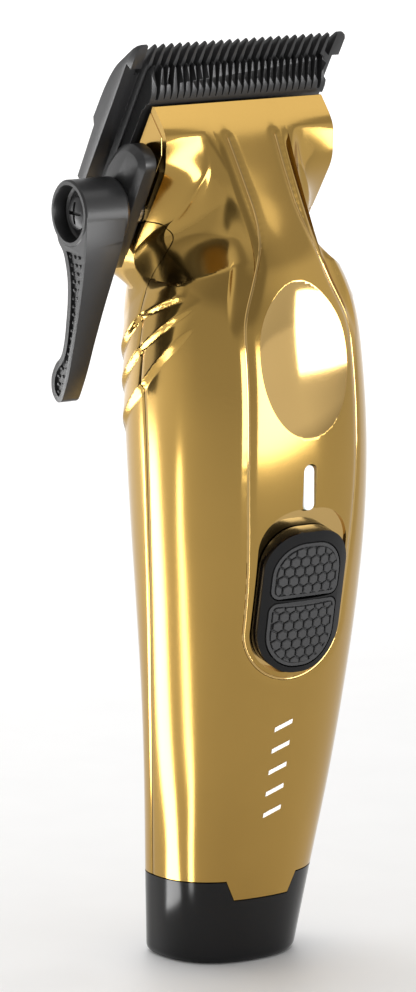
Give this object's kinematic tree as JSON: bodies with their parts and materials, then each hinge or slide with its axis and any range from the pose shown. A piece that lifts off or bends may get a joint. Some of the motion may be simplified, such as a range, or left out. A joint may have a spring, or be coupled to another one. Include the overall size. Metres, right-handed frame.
{
  "type": "cordless hair clipper",
  "caption": "Curved gold hand clipper with a black comb blade, taper lever on the left, thumb dish, slide switch and black charging base.",
  "frame": {"origin": "centre of the flat base that the clipper stands on", "axes": "+Z from the base to the blade tips, -Y out of the front with the slide switch, -X towards the taper lever"},
  "size_m": [0.0571, 0.049, 0.178],
  "materials": {
    "gold_plating": "mirror-polished gold plating over moulded plastic",
    "black_gloss": "piano-black gloss",
    "black_plastic": "satin black moulding",
    "black_steel": "black carbon coating on ground steel",
    "black_rubber": "soft-touch with a raised hexagon pattern",
    "steel": "machined",
    "brass": "machined",
    "white_plastic": "translucent white",
    "green_board": "solder mask",
    "battery_steel": "shrink sleeve over a metal can",
    "copper": "enamelled wire",
    "magnet": "sintered"
  },
  "bodies": {
    "housing": {"front_housing": "gold_plating", "rear_housing": "gold_plating", "base_cap": "black_gloss", "base_screw_left": "steel", "base_screw_right": "steel", "dock_contact_left": "brass", "dock_contact_right": "brass", "charging_socket": "steel", "charge_board": "green_board", "battery_cradle": "black_plastic", "battery_cell": "battery_steel", "circuit_board": "green_board", "toggle_switch": "steel", "indicator_led": "white_plastic", "control_chip": "black_plastic", "indicator_lens": "white_plastic", "motor_can": "steel", "motor_end_cap": "black_plastic", "motor_winding": "copper", "rear_bearing": "steel", "front_bearing": "steel", "head_frame": "black_plastic", "frame_screw_left": "steel", "frame_screw_right": "steel", "lever_bracket": "black_plastic", "blade_spring": "steel"},
    "rotor": {"motor_shaft": "steel", "rotor_magnet": "magnet", "eccentric": "brass", "eccentric_bearing": "steel"},
    "cutter": {"cutter_blade": "black_steel", "cutter_yoke": "white_plastic"},
    "blade_carrier": {"blade_carriage": "black_plastic", "fixed_blade": "black_steel", "blade_screw_left": "steel", "blade_screw_right": "steel"},
    "lever": {"taper_lever": "black_plastic", "lever_screw": "black_steel", "lever_cam": "steel"},
    "power_switch": {"switch_button": "black_gloss", "upper_grip_pad": "black_rubber", "lower_grip_pad": "black_rubber", "toggle_nub": "black_plastic"}
  },
  "joints": [
    {"name": "lever_swing", "type": "hinge", "parent": "housing", "child": "lever", "pos_m": [-0.0287, 0.0015, 0.1463], "axis": [-1, 0, 0], "range_deg": [0, 50]},
    {"name": "blade_slide", "type": "slide", "parent": "housing", "child": "blade_carrier", "axis": [0, 0.5373, -0.8434], "range_m": [0, 0.0024]},
    {"name": "cutter_stroke", "type": "slide", "parent": "housing", "child": "cutter", "axis": [1, 0, 0], "range_m": [-0.0014, 0.0014]},
    {"name": "motor_spin", "type": "hinge", "parent": "housing", "child": "rotor", "pos_m": [0, -0.0065, 0.106], "axis": [0, 0, 1], "continuous": true},
    {"name": "switch_slide", "type": "slide", "parent": "housing", "child": "power_switch", "axis": [0, -0.1908, 0.9816], "range_m": [0, 0.003]}
  ],
  "couplings": [
    {"joint": "blade_slide", "follows": "lever_swing", "m_per_rad": 0.00275}
  ]
}
